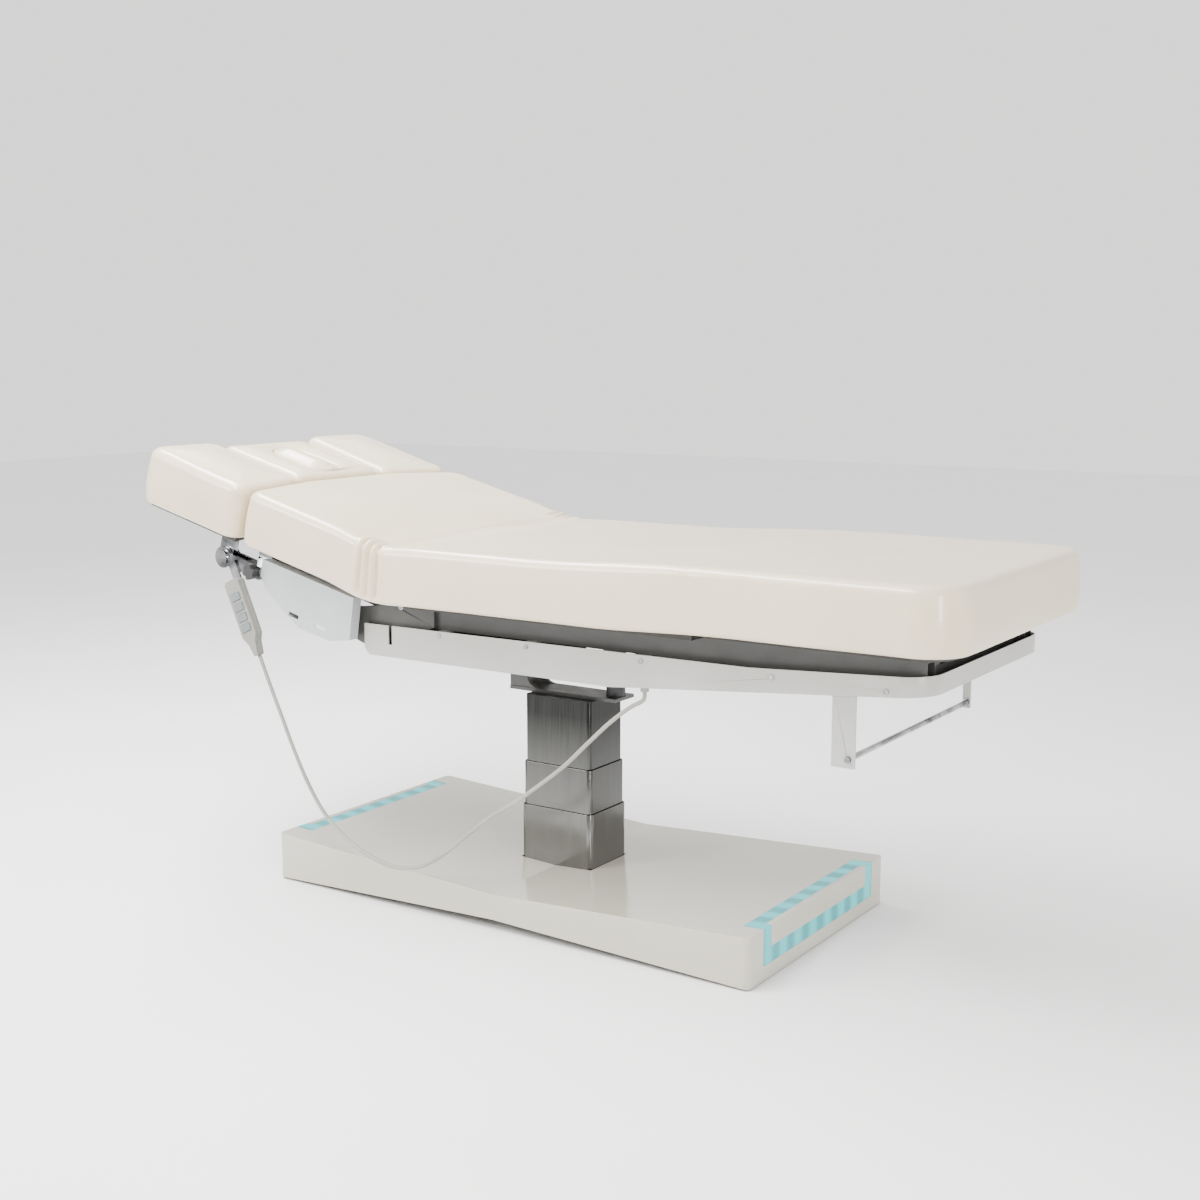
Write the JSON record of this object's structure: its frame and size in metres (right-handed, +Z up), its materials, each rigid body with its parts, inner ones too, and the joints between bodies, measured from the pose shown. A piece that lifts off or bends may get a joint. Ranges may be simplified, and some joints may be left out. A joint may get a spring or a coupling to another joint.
{
  "type": "electric treatment couch",
  "caption": "Electric treatment couch with a segmented cream mattress on one telescopic column, a low base with light bands, arm blocks, a face hole and a hanging hand control.",
  "frame": {"origin": "on the floor, midway along and across the couch without its handset cord", "axes": "+X towards the foot end, +Y to the side away from the handset, +Z up"},
  "size_m": [2.1059, 0.78, 1.0386],
  "materials": {
    "base_gloss": "gloss",
    "frame_dark": "satin",
    "apron_satin": "satin",
    "column_steel": "polished",
    "chrome_trim": "polished",
    "drive_black": "matte",
    "upholstery": "satin",
    "deck_board": "matte",
    "cover_grey": "satin",
    "handset_shell": "satin",
    "key_plastic": "satin",
    "cord_sheath": "satin",
    "glide_plastic": "satin",
    "foot_rubber": "matte",
    "light_band": "satin"
  },
  "bodies": {
    "base": {"base_shell": "base_gloss", "base_rails": "frame_dark", "base_crossmembers": "frame_dark", "base_feet": "foot_rubber", "light_diffusers": "light_band", "power_inlet": "drive_black", "control_box": "drive_black", "lift_motor": "drive_black", "lift_tube": "chrome_trim", "column_lower": "column_steel", "lower_glides": "glide_plastic"},
    "middle_stage": {"column_middle": "column_steel", "middle_glides": "glide_plastic", "lift_tube_middle": "chrome_trim"},
    "column_head": {"column_upper": "column_steel", "lift_rod": "chrome_trim", "tilt_saddle": "frame_dark", "tilt_actuator": "drive_black"},
    "tilt_rod": {"tilt_rod": "chrome_trim"},
    "chassis": {"chassis_rails": "frame_dark", "chassis_beams": "frame_dark", "hinge_brackets": "frame_dark", "hinge_pins": "chrome_trim", "apron": "apron_satin", "apron_screws": "chrome_trim", "seat_deck": "deck_board", "seat_pad": "upholstery", "back_actuator": "drive_black", "leg_actuator": "drive_black", "roll_brackets": "apron_satin", "cord_gland": "cord_sheath", "handset_cord": "cord_sheath"},
    "back_rod": {"back_rod": "chrome_trim"},
    "leg_rod": {"leg_rod": "chrome_trim"},
    "roll_rod": {"roll_rod": "chrome_trim"},
    "leg_section": {"leg_rails": "frame_dark", "leg_deck": "deck_board", "leg_pad": "upholstery"},
    "backrest": {"back_rails": "frame_dark", "back_crossmembers": "frame_dark", "back_deck": "deck_board", "back_pad": "upholstery", "side_covers": "cover_grey", "arm_brackets": "chrome_trim", "head_end_pins": "chrome_trim", "handset_front": "handset_shell", "handset_back": "handset_shell"},
    "headrest": {"head_plate": "deck_board", "head_cushion": "upholstery"},
    "face_plug": {"face_plug": "upholstery"},
    "near_arm": {"near_arm_board": "deck_board", "near_arm_cushion": "upholstery"},
    "far_arm": {"far_arm_board": "deck_board", "far_arm_cushion": "upholstery"},
    "near_knob": {"near_knob": "drive_black"},
    "far_knob": {"far_knob": "drive_black"},
    "height_key": {"height_key": "key_plastic"},
    "back_key": {"back_key": "key_plastic"},
    "leg_key": {"leg_key": "key_plastic"},
    "tilt_key": {"tilt_key": "key_plastic"}
  },
  "joints": [
    {"name": "column_lift", "type": "slide", "parent": "base", "child": "middle_stage", "axis": [0, 0, 1], "range_m": [-0.1, 0.025]},
    {"name": "column_lift_upper", "type": "slide", "parent": "middle_stage", "child": "column_head", "axis": [0, 0, 1], "range_m": [-0.1, 0.025]},
    {"name": "tilt", "type": "hinge", "parent": "column_head", "child": "chassis", "pos_m": [-0.162, 0, 0.61], "axis": [0, -1, 0], "range_deg": [0, 12]},
    {"name": "tilt_push", "type": "slide", "parent": "column_head", "child": "tilt_rod", "axis": [0, 0, 1], "range_m": [0, 0.0535]},
    {"name": "back_raise", "type": "hinge", "parent": "chassis", "child": "backrest", "pos_m": [-0.3, 0, 0.7], "axis": [0, 1, 0], "range_deg": [-14.4, 48], "deforming": ["handset_cord"]},
    {"name": "back_push", "type": "slide", "parent": "chassis", "child": "back_rod", "axis": [-1, 0, 0], "range_m": [-0.02, 0.064]},
    {"name": "leg_raise", "type": "hinge", "parent": "chassis", "child": "leg_section", "pos_m": [0.5, 0, 0.7], "axis": [0, -1, 0], "range_deg": [0, 25]},
    {"name": "leg_push", "type": "slide", "parent": "chassis", "child": "leg_rod", "axis": [1, 0, 0], "range_m": [0, 0.0277]},
    {"name": "roll_spin", "type": "hinge", "parent": "chassis", "child": "roll_rod", "pos_m": [0.815, 0, 0.505], "axis": [0, 1, 0], "continuous": true},
    {"name": "head_tilt", "type": "hinge", "parent": "backrest", "child": "headrest", "pos_m": [-0.75335, 0, 0.80814], "axis": [0, -1, 0], "range_deg": [0, 30]},
    {"name": "plug_lift", "type": "slide", "parent": "headrest", "child": "face_plug", "axis": [0.2487, 0, 0.9686], "range_m": [0, 0.15]},
    {"name": "near_arm_drop", "type": "hinge", "parent": "backrest", "child": "near_arm", "pos_m": [-0.81803, 0, 0.78139], "axis": [0, -1, 0], "range_deg": [0, 60]},
    {"name": "far_arm_drop", "type": "hinge", "parent": "backrest", "child": "far_arm", "pos_m": [-0.81803, 0, 0.78139], "axis": [0, -1, 0], "range_deg": [0, 60]},
    {"name": "near_knob_turn", "type": "hinge", "parent": "backrest", "child": "near_knob", "pos_m": [-0.71343, -0.34, 0.75453], "axis": [0, 1, 0], "range_deg": [0, 180]},
    {"name": "far_knob_turn", "type": "hinge", "parent": "backrest", "child": "far_knob", "pos_m": [-0.71343, 0.34, 0.75453], "axis": [0, 1, 0], "range_deg": [0, 180]},
    {"name": "height_key_rock", "type": "hinge", "parent": "backrest", "child": "height_key", "pos_m": [-0.74865, -0.367, 0.69375], "axis": [0.9107, 0, 0.4131], "range_deg": [-4, 4], "stiffness_Nm_per_rad": 0.5},
    {"name": "back_key_rock", "type": "hinge", "parent": "backrest", "child": "back_key", "pos_m": [-0.73791, -0.367, 0.67007], "axis": [0.9107, 0, 0.4131], "range_deg": [-4, 4], "stiffness_Nm_per_rad": 0.5},
    {"name": "leg_key_rock", "type": "hinge", "parent": "backrest", "child": "leg_key", "pos_m": [-0.72717, -0.367, 0.6464], "axis": [0.9107, 0, 0.4131], "range_deg": [-4, 4], "stiffness_Nm_per_rad": 0.5},
    {"name": "tilt_key_rock", "type": "hinge", "parent": "backrest", "child": "tilt_key", "pos_m": [-0.71643, -0.367, 0.62272], "axis": [0.9107, 0, 0.4131], "range_deg": [-4, 4], "stiffness_Nm_per_rad": 0.5}
  ],
  "couplings": [
    {"joint": "column_lift_upper", "follows": "column_lift", "ratio": 1},
    {"joint": "tilt_push", "follows": "tilt", "m_per_rad": 0.2532},
    {"joint": "back_push", "follows": "back_raise", "m_per_rad": 0.076},
    {"joint": "leg_push", "follows": "leg_raise", "m_per_rad": 0.063}
  ]
}
